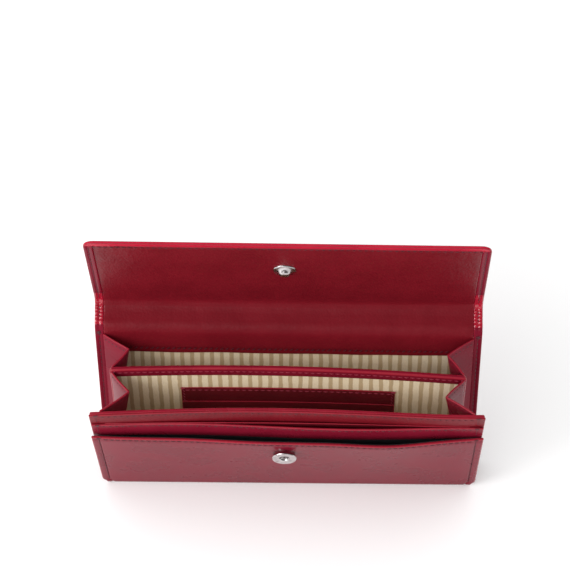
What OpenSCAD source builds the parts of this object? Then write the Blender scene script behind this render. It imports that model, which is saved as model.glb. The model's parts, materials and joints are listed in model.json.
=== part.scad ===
// Long flap wallet: a stiff back, a spine and flap behind it, a middle divider,
// and a leaning front section with slip pockets, joined by folding side gussets.
// Millimetres. +Z is up, -Y is the front, the origin is the centre of the base.

/* [Overall] */
// width of every full-width leather panel
wallet_w = 190; // [160:1:210]
// height of the back panel's inner face
back_h = 91.2; // [80:0.1:100]
// front to back depth of the flat base
base_d = 18.8; // [17:0.1:24]
// thickness of the leather strip the wallet stands on
base_t = 1.2; // [0.8:0.1:1.4]

/* [Pose] */
// lean of the back panel away from the front, degrees
back_lean = 2.8; // [0:0.1:5]
// lean of the middle divider to the front, degrees
divider_lean = 9.4; // [6:0.1:10]
// lean of the front section to the front, degrees
section_lean = 20.4; // [18:0.1:22]
// slope of the spine back from upright, degrees
spine_slope = 55; // [45:0.5:65]
// lean of the open flap to the front, degrees
flap_lean = 20.9; // [10:0.1:25]

/* [Leather and boards] */
// total thickness of the back panel
back_t = 2.6; // [2.4:0.1:3.2]
// thickness of a lining fabric
lining_t = 0.4; // [0.3:0.05:0.5]
// thickness of a thin leather facing
facing_t = 0.6; // [0.4:0.05:0.7]
// total thickness of the flap
flap_t = 1.9; // [1.7:0.1:2.2]
// total thickness of the spine
spine_t = 1.7; // [1.4:0.1:1.9]

/* [Flap and spine] */
// distance between the two spine folds
spine_l = 16; // [14:0.1:17]
// length of the flap from its fold to its free edge
flap_l = 68.4; // [60:0.1:70]
// radius of the flap's free corners
flap_r = 5.5; // [5:0.5:15]
// width of the turned strip down each side of the flap
side_strip_w = 4.3; // [3:0.1:6]
// width of the turned strip along the free edge
free_strip_w = 2.4; // [1.5:0.1:4]
// distance of the snap stud from the flap's fold
stud_from_fold = 41.9; // [35:0.1:45]

/* [Divider] */
// width of the middle divider
divider_w = 172; // [150:1:176]
// height of the divider above its hinge line
divider_h = 85.5; // [75:0.1:86]
// thickness of the divider without its card slots
divider_t = 1.8; // [1.4:0.1:2]
// depth of the leather facing along the divider's top
divider_facing_h = 6; // [4:0.1:10]
// width of the card panel
card_w = 102; // [94:1:110]
// height of the card panel's top edge above the divider's hinge line
card_top = 70; // [60:0.5:74]
// step down from one card slot to the next
card_pitch = 12.4; // [10:0.1:14]
// number of card slots in front of the card panel
card_slots = 3; // [1:1:4]
// thickness of one card slot layer
card_t = 0.6; // [0.4:0.05:0.6]

/* [Front section] */
// height of the tall wall behind the front pockets, from its hinge line
wall_h = 88.6; // [80:0.1:88.6]
// height of the pocket wall, from the section's hinge line
pocket_wall_h = 76.4; // [70:0.1:78]
// height of the thin slip panel, from the section's hinge line
slip_h = 79; // [74:0.1:82]
// height of the front panel, from the section's hinge line
front_h = 66.8; // [55:0.1:68]
// distance of the front face ahead of the section's hinge line
front_face = 2.05; // [1.9:0.05:2.2]
// height of the snap socket's centre above the section's hinge line
socket_h = 51.5; // [40:0.1:56]

/* [Snap] */
// radius of the socket's metal ring
socket_r = 5.95; // [5:0.05:7]
// radius of the hole in the socket
socket_hole_r = 2.4; // [2:0.05:3]
// how far the socket stands out of the front panel
socket_out = 3.4; // [2.5:0.1:3.6]
// radius of the stud's disc
stud_r = 5.2; // [4:0.1:6]
// radius of the stud's post
post_r = 2.0; // [1.5:0.05:2.2]
// how far the stud's post stands out of the flap's lining
post_out = 2.3; // [1.5:0.1:2.3]

/* [Gussets] */
// thickness of one gusset leaf
leaf_t = 0.8; // [0.6:0.05:0.8]
// distance of the rear gusset's seam from the middle of the back panel
rear_seam_x = 90.9; // [80:0.1:92]
// distance of the gusset seams from the middle of the divider
divider_seam_x = 85; // [74:0.1:87]
// distance of the front gusset's seam from the middle of the front section
front_seam_x = 89.5; // [80:0.1:92]

/* [Hidden] */
$fn = 64;
clear = 0.3;
edge = 1.1;
thread_w = 0.5;
thread_t = 0.2;
seam_in = 2.2;
board_t = 0.6;
plate_r = 4.2;
corner_r = 3;
half_w = wallet_w / 2;
back_y = base_d / 2 - back_t;
back_bottom = base_t + 0.1;
facing_h = 13.6;
section_y = -8;
section_z = 3.2;
divider_y = 2.4;
divider_z = 3.4;
spine_y = 12.6;
spine_z = 92.8;
flap_y = spine_y + spine_l * sin(spine_slope);
flap_z = spine_z + spine_l * cos(spine_slope);
fold_gap = 1.6;
section_bottom = -1.0;
divider_bottom = -1.2;
panel_t = 2.0;
pocket_wall_t = 0.8;
slip_t = 0.4;
wall_front = 0.95;
wall_back = 3.25;
leaf_gap = 0.7;
leaf_start = 0.5;
leaf_low = 6;

leather = [0.50, 0.10, 0.16];
leather_dark = [0.40, 0.08, 0.13];
edge_red = [0.66, 0.10, 0.16];
stripe = [0.68, 0.60, 0.49];
black = [0.06, 0.06, 0.07];
card = [0.62, 0.54, 0.42];
metal = [0.80, 0.81, 0.83];
thread = [0.45, 0.07, 0.12];

// ---- frames: each wall stands upright in its own frame, hinge line at its origin ----

module in_back() {
    translate([0, back_y, 0]) rotate([-back_lean, 0, 0]) children();
}

module in_spine() {
    translate([0, spine_y, spine_z]) rotate([-spine_slope, 0, 0]) children();
}

module in_flap() {
    translate([0, flap_y, flap_z]) rotate([flap_lean, 0, 0]) children();
}

module in_divider() {
    translate([0, divider_y, divider_z]) rotate([divider_lean, 0, 0]) children();
}

module in_section() {
    translate([0, section_y, section_z]) rotate([section_lean, 0, 0]) children();
}

// ---- shared shapes ----

// upright plate, centred in X, front face at y0
module plate(w, y0, t, z0, z1) {
    translate([-w / 2, y0, z0]) cube([w, t, z1 - z0]);
}

// upright plate with its two lower corners rounded
module low_rounded(w, y0, t, z0, z1, r) {
    translate([0, y0 + t, 0]) rotate([90, 0, 0]) linear_extrude(t) union() {
        translate([-w / 2, z0 + r]) square([w, z1 - z0 - r]);
        translate([-w / 2 + r, z0]) square([w - 2 * r, r + 0.01]);
        translate([-w / 2 + r, z0 + r]) circle(r);
        translate([w / 2 - r, z0 + r]) circle(r);
    }
}

// outline of the flap with its two free corners rounded
module flap_outline(w, z0, z1, r) {
    translate([-w / 2, z0]) square([w, z1 - z0 - r]);
    translate([-w / 2 + r, z1 - r - 0.01]) square([w - 2 * r, r + 0.01]);
    translate([-w / 2 + r, z1 - r]) circle(r);
    translate([w / 2 - r, z1 - r]) circle(r);
}

module high_rounded(w, y0, t, z0, z1, r) {
    translate([0, y0 + t, 0]) rotate([90, 0, 0]) linear_extrude(t) flap_outline(w, z0, z1, r);
}

// one sewn seam running across the wallet, lying on the face at y0
module seam_across(w, y0, z) {
    translate([-w / 2, y0 - thread_t, z - thread_w / 2]) cube([w, thread_t, thread_w]);
}

// one sewn seam running up a side, lying on the face at y0
module seam_up(x, y0, z0, z1) {
    translate([x - thread_w / 2, y0 - thread_t, z0]) cube([thread_w, thread_t, z1 - z0]);
}

// round plate that backs a snap, centred in the board layer
module snap_back(y0, t, z, r) {
    translate([0, y0 + t, z]) rotate([90, 0, 0]) cylinder(h = t, r = r);
}

// one leaf of a gusset: hinge edge at the origin, narrowing to the foot
module leaf(w_low, w_top, z_hinge, z_fold) {
    translate([0, leaf_t / 2, 0]) rotate([90, 0, 0]) linear_extrude(leaf_t)
        polygon([[leaf_start, leaf_low], [w_low, leaf_low], [w_top, z_fold], [leaf_start, z_hinge]]);
}

// ---- back panel and base ----

module base_strip() {
    color(leather) translate([-half_w + corner_r / 2, -base_d / 2, 0])
        cube([wallet_w - corner_r, base_d, base_t]);
}

module back_cover() {
    color(leather) in_back()
        low_rounded(wallet_w, back_t - edge, edge, back_bottom, back_h, corner_r);
}

module back_board() {
    color(card) in_back()
        plate(wallet_w - 6, facing_t + lining_t - 0.1, board_t, back_bottom + 2, back_h - 2);
}

module back_lining() {
    color(stripe) in_back()
        plate(wallet_w - 2 * side_strip_w - 0.4, facing_t - 0.1, lining_t, back_bottom + 1, back_h - 1);
}

module back_facing() {
    color(leather) in_back()
        plate(wallet_w - 2 * side_strip_w - 0.4, 0, facing_t - 0.1, back_h - facing_h, back_h);
}

module back_side(s) {
    color(leather_dark) in_back()
        translate([s * (half_w - side_strip_w / 2), 0, 0])
            plate(side_strip_w, 0, facing_t, back_bottom, back_h);
}

module back_strip_left() {
    back_side(-1);
}

module back_strip_right() {
    back_side(1);
}

module back_seams() {
    color(thread) in_back() {
        seam_across(wallet_w - 2 * side_strip_w - 4, 0, back_h - facing_h + 1.8);
        for (s = [-1, 1])
            seam_up(s * (half_w - 1.6), 0, back_bottom + 4, back_h - 3);
    }
}

// ---- spine ----

module spine_cover() {
    color(leather) in_spine()
        plate(wallet_w, spine_t / 2 - edge, edge, fold_gap, spine_l - fold_gap);
}

module spine_lining() {
    color(leather_dark) in_spine()
        plate(wallet_w - 0.6, -spine_t / 2, spine_t - edge, fold_gap, spine_l - fold_gap);
}

module spine_seams() {
    color(thread) in_spine()
        for (s = [-1, 1])
            seam_up(s * (half_w - seam_in), -spine_t / 2, fold_gap + 0.5, spine_l - fold_gap - 0.5);
}

// ---- flap ----

module flap_cover() {
    color(leather) in_flap()
        high_rounded(wallet_w, flap_t / 2 - 0.8, 0.8, fold_gap, flap_l, flap_r);
}

module flap_board() {
    color(card) in_flap() difference() {
        high_rounded(wallet_w - 8, flap_t / 2 - 1.3, 0.5, fold_gap + 2, flap_l - 4, flap_r - 3);
        snap_back(flap_t / 2 - 1.5, 0.9, stud_from_fold, plate_r + 0.05);
    }
}

module flap_edge() {
    color(edge_red) in_flap() difference() {
        high_rounded(wallet_w, -flap_t / 2, facing_t, fold_gap, flap_l, flap_r);
        translate([0, -0.05, 0])
            high_rounded(
                wallet_w - 2 * side_strip_w, -flap_t / 2, facing_t + 0.1,
                fold_gap - 1, flap_l - free_strip_w, flap_r - free_strip_w
            );
    }
}

module flap_lining() {
    color(leather_dark) in_flap()
        high_rounded(
            wallet_w - 2 * side_strip_w - 0.2, -flap_t / 2, facing_t - 0.05,
            fold_gap, flap_l - free_strip_w - 0.1, flap_r - free_strip_w
        );
}

module flap_seams() {
    color(thread) in_flap() {
        seam_across(wallet_w - 2 * flap_r, -flap_t / 2, flap_l - free_strip_w / 2);
        for (s = [-1, 1])
            seam_up(s * (half_w - seam_in), -flap_t / 2, fold_gap + 1, flap_l - flap_r);
    }
}

module snap_stud() {
    color(metal) in_flap() translate([0, -flap_t / 2, stud_from_fold]) rotate([90, 0, 0])
        rotate_extrude() polygon([
            [0, 0], [stud_r, 0], [stud_r, 0.45], [stud_r - 0.5, 0.8], [post_r - 0.3, 0.8],
            [post_r - 0.3, 1.3], [post_r, 1.6], [post_r, post_out - 0.4], [post_r - 0.6, post_out],
            [0, post_out]
        ]);
}

module stud_plate() {
    color(metal) in_flap() snap_back(flap_t / 2 - 1.3, 0.45, stud_from_fold, plate_r);
}

// ---- divider ----

module divider_board() {
    color(card) in_divider()
        plate(divider_w - 2, -0.45, 0.9, divider_bottom + 1, divider_h - 0.5);
}

module divider_lining_rear() {
    color(stripe) in_divider()
        plate(divider_w, 0.5, lining_t, divider_bottom, divider_h - divider_facing_h);
}

module divider_lining_front() {
    color(stripe) in_divider()
        plate(divider_w, -0.9, lining_t, divider_bottom, divider_h - divider_facing_h);
}

module divider_facing() {
    color(leather) in_divider() difference() {
        plate(
            divider_w, -divider_t / 2, divider_t,
            divider_h - divider_facing_h + 0.05, divider_h + 0.4
        );
        plate(divider_w + 2, -0.5, 1.0, divider_h - divider_facing_h - 1, divider_h - 0.4);
    }
}

module card_layer(n, top) {
    color(leather_dark) in_divider()
        plate(card_w - 0.4 * n, -divider_t / 2 - card_t * (n + 1), card_t - 0.05, 4, top);
}

module card_panel() {
    card_layer(0, card_top);
}

module card_slot_upper() {
    card_layer(1, card_top - card_pitch);
}

module card_slot_middle() {
    card_layer(2, card_top - 2 * card_pitch);
}

module card_slot_lower() {
    card_layer(3, card_top - 3 * card_pitch);
}

module divider_seams() {
    color(thread) in_divider() {
        seam_across(divider_w - 6, -divider_t / 2, divider_h - 3.5);
        seam_across(card_w - 4, -divider_t / 2 - card_t, card_top - 1.6);
        seam_across(card_w - 4, -divider_t / 2 - 2 * card_t, card_top - card_pitch - 1.6);
    }
}

// ---- front section ----

module front_panel() {
    color(leather) in_section()
        low_rounded(wallet_w, -front_face, edge, section_bottom, front_h, corner_r);
}

module front_board() {
    color(card) in_section() difference() {
        plate(wallet_w - 8, -front_face + edge + 0.05, 0.45, section_bottom + 2, front_h - 3);
        snap_back(-front_face + edge, 0.6, socket_h, plate_r + 0.05);
    }
}

module pocket_lining() {
    color(black) in_section()
        plate(wallet_w - 2, -front_face + edge + 0.55, 0.3, section_bottom, front_h - 1);
}

module pocket_wall() {
    color(leather) in_section()
        plate(wallet_w - 0.4, -0.05, pocket_wall_t - 0.25, section_bottom, pocket_wall_h);
}

module slip_panel() {
    color(leather_dark) in_section()
        plate(wallet_w - 10, 0.55, 0.35, section_bottom, slip_h);
}

module wall_facing() {
    color(leather) in_section()
        plate(wallet_w, wall_front, 0.9, section_bottom, wall_h);
}

module wall_board() {
    color(card) in_section()
        plate(wallet_w - 8, wall_front + 0.95, 0.9, section_bottom + 2, wall_h - 2);
}

module wall_lining() {
    color(stripe) in_section()
        plate(wallet_w - 1, wall_back - lining_t, lining_t, section_bottom, wall_h - 1);
}

module section_seams() {
    color(thread) in_section() {
        seam_across(wallet_w - 6, -front_face, front_h - 1.8);
        for (s = [-1, 1])
            seam_up(s * (half_w - seam_in - 1.2), -front_face, section_bottom + 4, front_h - 3);
        seam_across(wallet_w - 6, -0.05, pocket_wall_h - 1.6);
        seam_across(wallet_w - 6, wall_front, wall_h - 1.8);
    }
}

module snap_socket() {
    color(metal) in_section() translate([0, -front_face, socket_h]) rotate([90, 0, 0])
        rotate_extrude() polygon([
            [0, 0], [socket_r - 0.4, 0], [socket_r - 0.4, socket_out - 1.2],
            [socket_r, socket_out - 0.9], [socket_r, socket_out - 0.3],
            [socket_r - 0.4, socket_out], [socket_hole_r + 0.3, socket_out],
            [socket_hole_r, socket_out - 0.3], [socket_hole_r, 0.6], [0, 0.6]
        ]);
}

module socket_plate() {
    color(metal) in_section() snap_back(-front_face + edge + 0.05, 0.4, socket_h, plate_r);
}

// ---- gussets: outer leaves hang on the outer walls, inner leaves on the divider ----

module rear_outer(s) {
    color(leather_dark) in_back() mirror([s > 0 ? 1 : 0, 0, 0])
        translate([-rear_seam_x, -leaf_gap, 0]) rotate([0, 0, -35.8])
            leaf(1.8, 16, back_h - 1.2, back_h - 2.4);
}

module rear_inner(s) {
    color(leather) in_divider() mirror([s > 0 ? 1 : 0, 0, 0])
        translate([-divider_seam_x, divider_t / 2 + leaf_gap, 0]) rotate([0, 0, 52.1])
            leaf(1.5, 11.8, divider_h - 0.5, divider_h + 1);
}

module front_inner(s) {
    color(leather_dark) in_divider() mirror([s > 0 ? 1 : 0, 0, 0])
        translate([-divider_seam_x, -divider_t / 2 - leaf_gap, 0]) rotate([0, 0, -50.1])
            leaf(3, 12.8, divider_h - 0.5, divider_h - 0.5);
}

module front_outer(s) {
    color(leather) in_section() mirror([s > 0 ? 1 : 0, 0, 0])
        translate([-front_seam_x, wall_back + leaf_gap, 0]) rotate([0, 0, 38])
            leaf(3.8, 16, wall_h - 0.8, wall_h - 1.2);
}

module rear_gusset_left_outer() {
    rear_outer(-1);
}

module rear_gusset_right_outer() {
    rear_outer(1);
}

module rear_gusset_left_inner() {
    rear_inner(-1);
}

module rear_gusset_right_inner() {
    rear_inner(1);
}

module front_gusset_left_inner() {
    front_inner(-1);
}

module front_gusset_right_inner() {
    front_inner(1);
}

module front_gusset_left_outer() {
    front_outer(-1);
}

module front_gusset_right_outer() {
    front_outer(1);
}

base_strip();
back_cover();
back_board();
back_lining();
back_facing();
back_strip_left();
back_strip_right();
back_seams();
spine_cover();
spine_lining();
spine_seams();
flap_cover();
flap_board();
flap_edge();
flap_lining();
flap_seams();
snap_stud();
stud_plate();
divider_board();
divider_lining_rear();
divider_lining_front();
divider_facing();
card_panel();
card_slot_upper();
card_slot_middle();
card_slot_lower();
divider_seams();
front_panel();
front_board();
pocket_lining();
pocket_wall();
slip_panel();
wall_facing();
wall_board();
wall_lining();
section_seams();
snap_socket();
socket_plate();
rear_gusset_left_outer();
rear_gusset_left_inner();
rear_gusset_right_outer();
rear_gusset_right_inner();
front_gusset_left_inner();
front_gusset_left_outer();
front_gusset_right_inner();
front_gusset_right_outer();
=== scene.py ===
"""Looks for a long flap wallet: every leather, lining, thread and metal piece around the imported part."""

import json
import logging
import math
from dataclasses import dataclass, field
from enum import Enum
from typing import Callable, Iterable, Sequence

import bpy
from mathutils import Matrix, Vector, noise


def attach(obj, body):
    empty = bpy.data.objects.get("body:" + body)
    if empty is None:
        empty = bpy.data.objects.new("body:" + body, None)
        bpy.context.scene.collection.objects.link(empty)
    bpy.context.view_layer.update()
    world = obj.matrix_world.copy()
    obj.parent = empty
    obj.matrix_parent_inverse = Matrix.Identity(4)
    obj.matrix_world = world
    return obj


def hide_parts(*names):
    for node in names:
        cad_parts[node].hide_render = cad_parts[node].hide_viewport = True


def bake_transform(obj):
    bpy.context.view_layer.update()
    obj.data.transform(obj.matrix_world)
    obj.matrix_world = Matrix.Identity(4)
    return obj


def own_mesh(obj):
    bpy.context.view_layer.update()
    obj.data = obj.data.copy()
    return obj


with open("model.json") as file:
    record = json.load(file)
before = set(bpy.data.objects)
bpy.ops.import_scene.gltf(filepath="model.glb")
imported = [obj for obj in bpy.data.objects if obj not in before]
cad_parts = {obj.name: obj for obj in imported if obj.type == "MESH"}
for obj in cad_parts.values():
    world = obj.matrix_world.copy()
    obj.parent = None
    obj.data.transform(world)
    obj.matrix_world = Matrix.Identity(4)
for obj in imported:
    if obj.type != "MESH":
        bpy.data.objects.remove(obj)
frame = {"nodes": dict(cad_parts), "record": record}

LOG = logging.getLogger("wallet")
MM = 0.001
TURN = 2.0 * math.pi
Point = Callable[[float, float, float], Vector]
Shape = Callable[[float, float, float], Vector]
Bow = Callable[[float, float], float]
Line = Callable[[float], Vector]
Colour = tuple[float, float, float]
Piece = bpy.types.Object


def mm(*sizes: float) -> tuple[float, ...]:
    """Millimetres as metres."""
    return tuple(size * MM for size in sizes)


def clamp(share: float) -> float:
    """A share kept between 0 and 1."""
    return min(1.0, max(0.0, share))


def hump(distance: float, width: float) -> float:
    """A smooth hump: 1 in its middle and nearly 0 at twice its width away."""
    return math.exp(-((distance / width) ** 2))


# ---------------------------------------------------------------- shader maths


class Value:
    """A number in a shader: Python's operators on it add Math nodes."""

    def __init__(self, recipe: "Recipe", socket: bpy.types.NodeSocket) -> None:
        """Wraps one output socket of a recipe's node tree."""
        self.recipe = recipe
        self.socket = socket

    def _math(self, operation: str, first: "float | Value", second: "float | Value" = 0.0) -> "Value":
        """Adds one Math node.

        Args:
            operation: the Math node's operation.
            first: its first input.
            second: its second input.

        Returns:
            The node's result.
        """
        return self.recipe.node("ShaderNodeMath", {"operation": operation}, {0: first, 1: second})

    def __add__(self, other: "float | Value") -> "Value":
        """This value plus another."""
        return self._math("ADD", self, other)

    def __radd__(self, other: float) -> "Value":
        """A number plus this value."""
        return self._math("ADD", other, self)

    def __sub__(self, other: "float | Value") -> "Value":
        """This value minus another."""
        return self._math("SUBTRACT", self, other)

    def __mul__(self, other: "float | Value") -> "Value":
        """This value times another."""
        return self._math("MULTIPLY", self, other)

    def sine(self) -> "Value":
        """The sine of this value."""
        return self._math("SINE", self)

    def above(self, edge: float, soft: float) -> "Value":
        """A soft step.

        Args:
            edge: where the step is.
            soft: half the width of its ramp.

        Returns:
            0 well below the edge and 1 well above it.
        """
        return self.recipe.node(
            "ShaderNodeMapRange",
            {"interpolation_type": "SMOOTHSTEP"},
            {"Value": self, "From Min": edge - soft, "From Max": edge + soft},
        )


class Recipe:
    """One material's node tree, filled through a single node method."""

    def __init__(self, name: str) -> None:
        """Starts an empty material that holds only its output."""
        self.material = bpy.data.materials.new(name)
        self.material.use_nodes = True
        self.tree = self.material.node_tree
        self.tree.nodes.clear()
        self.output = self.tree.nodes.new("ShaderNodeOutputMaterial")

    def node(self, kind: str, settings: dict[str, object], inputs: dict[object, object],
             out: object = 0) -> Value:
        """Adds a node.

        Args:
            kind: the node's type.
            settings: the node's own settings, set before its sockets.
            inputs: socket name or number to a value, a colour or a linked Value.
            out: which output to hand back.

        Returns:
            The wrapped output.
        """
        made = self.tree.nodes.new(kind)
        for key, value in settings.items():
            setattr(made, key, value)
        for key, value in inputs.items():
            socket = made.inputs[key]
            if isinstance(value, Value):
                self.tree.links.new(value.socket, socket)
            else:
                socket.default_value = value
        return Value(self, made.outputs[out])

    def place(self, stretch: tuple[float, float, float] = (1.0, 1.0, 1.0)) -> Value:
        """Object coordinates, stretched along each axis."""
        coordinates = self.node("ShaderNodeTexCoord", {}, {}, "Object")
        return self.node("ShaderNodeMapping", {}, {"Vector": coordinates, "Scale": stretch})

    def across(self) -> Value:
        """The distance across the wallet, in metres."""
        coordinates = self.node("ShaderNodeTexCoord", {}, {}, "Object")
        return self.node("ShaderNodeSeparateXYZ", {}, {0: coordinates}, "X")

    def mottle(self, scale: float, detail: float, where: Value) -> Value:
        """Cloudy noise from 0 to 1 at so many blotches per metre."""
        return self.node("ShaderNodeTexNoise", {}, {"Vector": where, "Scale": scale, "Detail": detail})

    def pebbles(self, scale: float, where: Value) -> Value:
        """Rounded cells, as in a leather grain."""
        inputs = {"Vector": where, "Scale": scale, "Smoothness": 0.7}
        return self.node("ShaderNodeTexVoronoi", {"feature": "SMOOTH_F1"}, inputs, "Distance")

    def blend(self, share: Value, first: object, second: object) -> Value:
        """Mixes two colours by a share from 0 to 1."""
        return self.node("ShaderNodeMix", {"data_type": "RGBA"}, {0: share, 6: first, 7: second}, 2)

    def bump(self, height: Value, distance: float) -> Value:
        """A Bump node of that height in metres."""
        inputs = {"Height": height, "Distance": distance, "Strength": 1.0}
        return self.node("ShaderNodeBump", {}, inputs, "Normal")

    def finish(self, inputs: dict[str, object]) -> bpy.types.Material:
        """Ends the tree in a Principled shader with these inputs."""
        shader = self.node("ShaderNodeBsdfPrincipled", {}, inputs, "BSDF")
        self.tree.links.new(shader.socket, self.output.inputs["Surface"])
        return self.material


def rgba(colour: Colour) -> tuple[float, float, float, float]:
    """A colour with full opacity."""
    return (*colour, 1.0)


@dataclass(frozen=True)
class Leather:
    """Glazed leather: two close colours in soft clouds, a fine grain and drifting creases."""

    name: str
    deep: Colour
    fresh: Colour
    roughness: float = 0.30
    sheen: float = 0.30
    grain: float = 0.00003
    grain_scale: float = 1500.0
    creasing: float = 0.0

    def material(self) -> bpy.types.Material:
        """Builds the leather's material."""
        recipe = Recipe(self.name)
        where = recipe.place()
        clouds = recipe.mottle(55.0, 3.0, where)
        specks = recipe.mottle(900.0, 2.0, where)
        colour = recipe.blend(clouds.above(0.5, 0.22) * 0.7 + specks * 0.3, rgba(self.deep), rgba(self.fresh))
        cells = recipe.pebbles(self.grain_scale, where)
        pores = recipe.mottle(self.grain_scale * 2.3, 2.0, where)
        ripples = recipe.mottle(170.0, 4.0, recipe.place((1.0, 0.55, 0.55)))
        height = cells * 0.7 + pores * 0.3 + ripples * self.creasing
        return recipe.finish({
            "Base Color": colour,
            "Roughness": self.roughness + (clouds - 0.5) * 0.12,
            "Specular IOR Level": self.sheen,
            "Normal": recipe.bump(height, self.grain),
        })


@dataclass(frozen=True)
class StripedLining:
    """Woven beige lining with darker upright stripes."""

    name: str
    light: Colour = (0.88, 0.75, 0.53)
    dark: Colour = (0.54, 0.395, 0.215)
    period: float = 0.0049

    def material(self) -> bpy.types.Material:
        """Builds the lining's material."""
        recipe = Recipe(self.name)
        where = recipe.place()
        across = recipe.across()
        wobble = (recipe.mottle(160.0, 2.0, where) - 0.5) * 0.0009
        wave = ((across + wobble) * (TURN / self.period)).sine()
        stripe = wave.above(0.28, 0.16)
        threads = (across * (TURN / 0.00042)).sine()
        weft = recipe.mottle(2600.0, 2.0, recipe.place((1.0, 0.35, 0.35)))
        weave = threads * 0.25 + weft
        shade = recipe.blend(stripe * 0.92, rgba(self.light), rgba(self.dark))
        shade = recipe.blend(weave.above(0.62, 0.35) * 0.22, shade, rgba((0.18, 0.12, 0.07)))
        return recipe.finish({
            "Base Color": shade,
            "Roughness": 0.62 + (weft - 0.5) * 0.2,
            "Sheen Weight": 0.25,
            "Sheen Roughness": 0.4,
            "Normal": recipe.bump(weave + stripe * 0.5, 0.00006),
        })


@dataclass(frozen=True)
class PlainCloth:
    """A plain close weave."""

    name: str
    base: Colour = (0.012, 0.012, 0.014)
    lifted: Colour = (0.03, 0.03, 0.034)

    def material(self) -> bpy.types.Material:
        """Builds the cloth's material."""
        recipe = Recipe(self.name)
        warp = (recipe.across() * (TURN / 0.0005)).sine()
        weft = recipe.mottle(2200.0, 2.0, recipe.place((0.3, 1.0, 1.0)))
        weave = warp * 0.3 + weft
        return recipe.finish({
            "Base Color": recipe.blend(weave.above(0.6, 0.4), rgba(self.base), rgba(self.lifted)),
            "Roughness": 0.6 + (weft - 0.5) * 0.3,
            "Normal": recipe.bump(weave, 0.00007),
        })


@dataclass(frozen=True)
class Thread:
    """Twisted sewing thread."""

    name: str
    shade: Colour = (0.045, 0.004, 0.008)
    shine: Colour = (0.110, 0.009, 0.018)

    def material(self) -> bpy.types.Material:
        """Builds the thread's material."""
        recipe = Recipe(self.name)
        twist = (recipe.across() * (TURN / 0.0007)).sine()
        fuzz = recipe.mottle(3000.0, 2.0, recipe.place())
        sheen = twist.above(0.0, 0.9) * 0.6 + fuzz * 0.4
        return recipe.finish({
            "Base Color": recipe.blend(sheen, rgba(self.shade), rgba(self.shine)),
            "Roughness": 0.45 + (fuzz - 0.5) * 0.2,
            "Normal": recipe.bump(twist * 0.5 + fuzz, 0.00005),
        })


@dataclass(frozen=True)
class Metal:
    """Polished nickel plate with faint turning marks and rubbed patches."""

    name: str
    tone: Colour = (0.62, 0.585, 0.585)
    worn: Colour = (0.42, 0.385, 0.385)

    def material(self) -> bpy.types.Material:
        """Builds the metal's material."""
        recipe = Recipe(self.name)
        where = recipe.place()
        rubbed = recipe.mottle(420.0, 3.0, where)
        marks = recipe.mottle(2500.0, 2.0, recipe.place((1.0, 0.2, 0.2)))
        return recipe.finish({
            "Base Color": recipe.blend(rubbed.above(0.55, 0.2), rgba(self.tone), rgba(self.worn)),
            "Metallic": 1.0,
            "Roughness": 0.16 + rubbed * 0.14,
            "Normal": recipe.bump(marks, 0.00001),
        })


@dataclass(frozen=True)
class Board:
    """Plain grey-brown stiffening board with loose fibres."""

    name: str

    def material(self) -> bpy.types.Material:
        """Builds the board's material."""
        recipe = Recipe(self.name)
        fibres = recipe.mottle(700.0, 4.0, recipe.place((1.0, 1.0, 0.4)))
        return recipe.finish({
            "Base Color": recipe.blend(fibres, rgba((0.30, 0.24, 0.17)), rgba((0.42, 0.35, 0.26))),
            "Roughness": 0.85 + (fibres - 0.5) * 0.1,
            "Normal": recipe.bump(fibres, 0.00005),
        })


class Finish(Enum):
    """The finishes the wallet is made in."""

    COVER = Leather("cover_leather", (0.150, 0.0050, 0.0165), (0.195, 0.0072, 0.0220), 0.28, 0.08)
    INNER = Leather(
        "inner_leather", (0.134, 0.0048, 0.0100), (0.168, 0.0066, 0.0132), 0.36, 0.10, 0.00013, 950.0, 3.0
    )
    # A lighter copy of the leather that every rounded edge gets: painted highlight.
    EDGE = Leather("edge_leather", (0.230, 0.0070, 0.0190), (0.300, 0.0095, 0.0240), 0.28, 0.28, 0.00002)
    # A still lighter copy of the leather for the flap's top rim: painted highlight.
    RIM = Leather("rim_leather", (0.380, 0.0060, 0.0260), (0.480, 0.0090, 0.0340), 0.24, 0.22, 0.00002)
    # A brighter, glossier copy of the cover leather for the spine's crinkles: painted highlight.
    PATENT = Leather("patent_leather", (0.300, 0.0060, 0.0200), (0.420, 0.0090, 0.0280), 0.12, 0.75, 0.00001)
    CARD = Leather("card_leather", (0.085, 0.0040, 0.0080), (0.120, 0.0055, 0.0110), 0.45, 0.2)
    STRIPES = StripedLining("striped_lining")
    BLACK = PlainCloth("black_lining")
    THREAD = Thread("burgundy_thread")
    ROSE = Thread("rose_thread", (0.200, 0.018, 0.036), (0.360, 0.040, 0.070))
    METAL = Metal("nickel_plate")
    BOARD = Board("stiffening_board")


class Paints:
    """Each finish's material, made once when first asked for."""

    def __init__(self) -> None:
        """Starts with no material made."""
        self.made: dict[Finish, bpy.types.Material] = {}

    def of(self, finish: Finish) -> bpy.types.Material:
        """The material of a finish."""
        if finish not in self.made:
            self.made[finish] = finish.value.material()
        return self.made[finish]


# ---------------------------------------------------------------- places


@dataclass(frozen=True)
class Wall:
    """A wall's upright frame: its hinge line at (y, z), leaning to the front by an angle."""

    y: float
    z: float
    lean: float

    def point(self, x: float, y: float, z: float) -> Vector:
        """A point of the wall's own frame in the wallet's frame."""
        c, s = math.cos(self.lean), math.sin(self.lean)
        return Vector((x, self.y + y * c - z * s, self.z + y * s + z * c))


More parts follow.
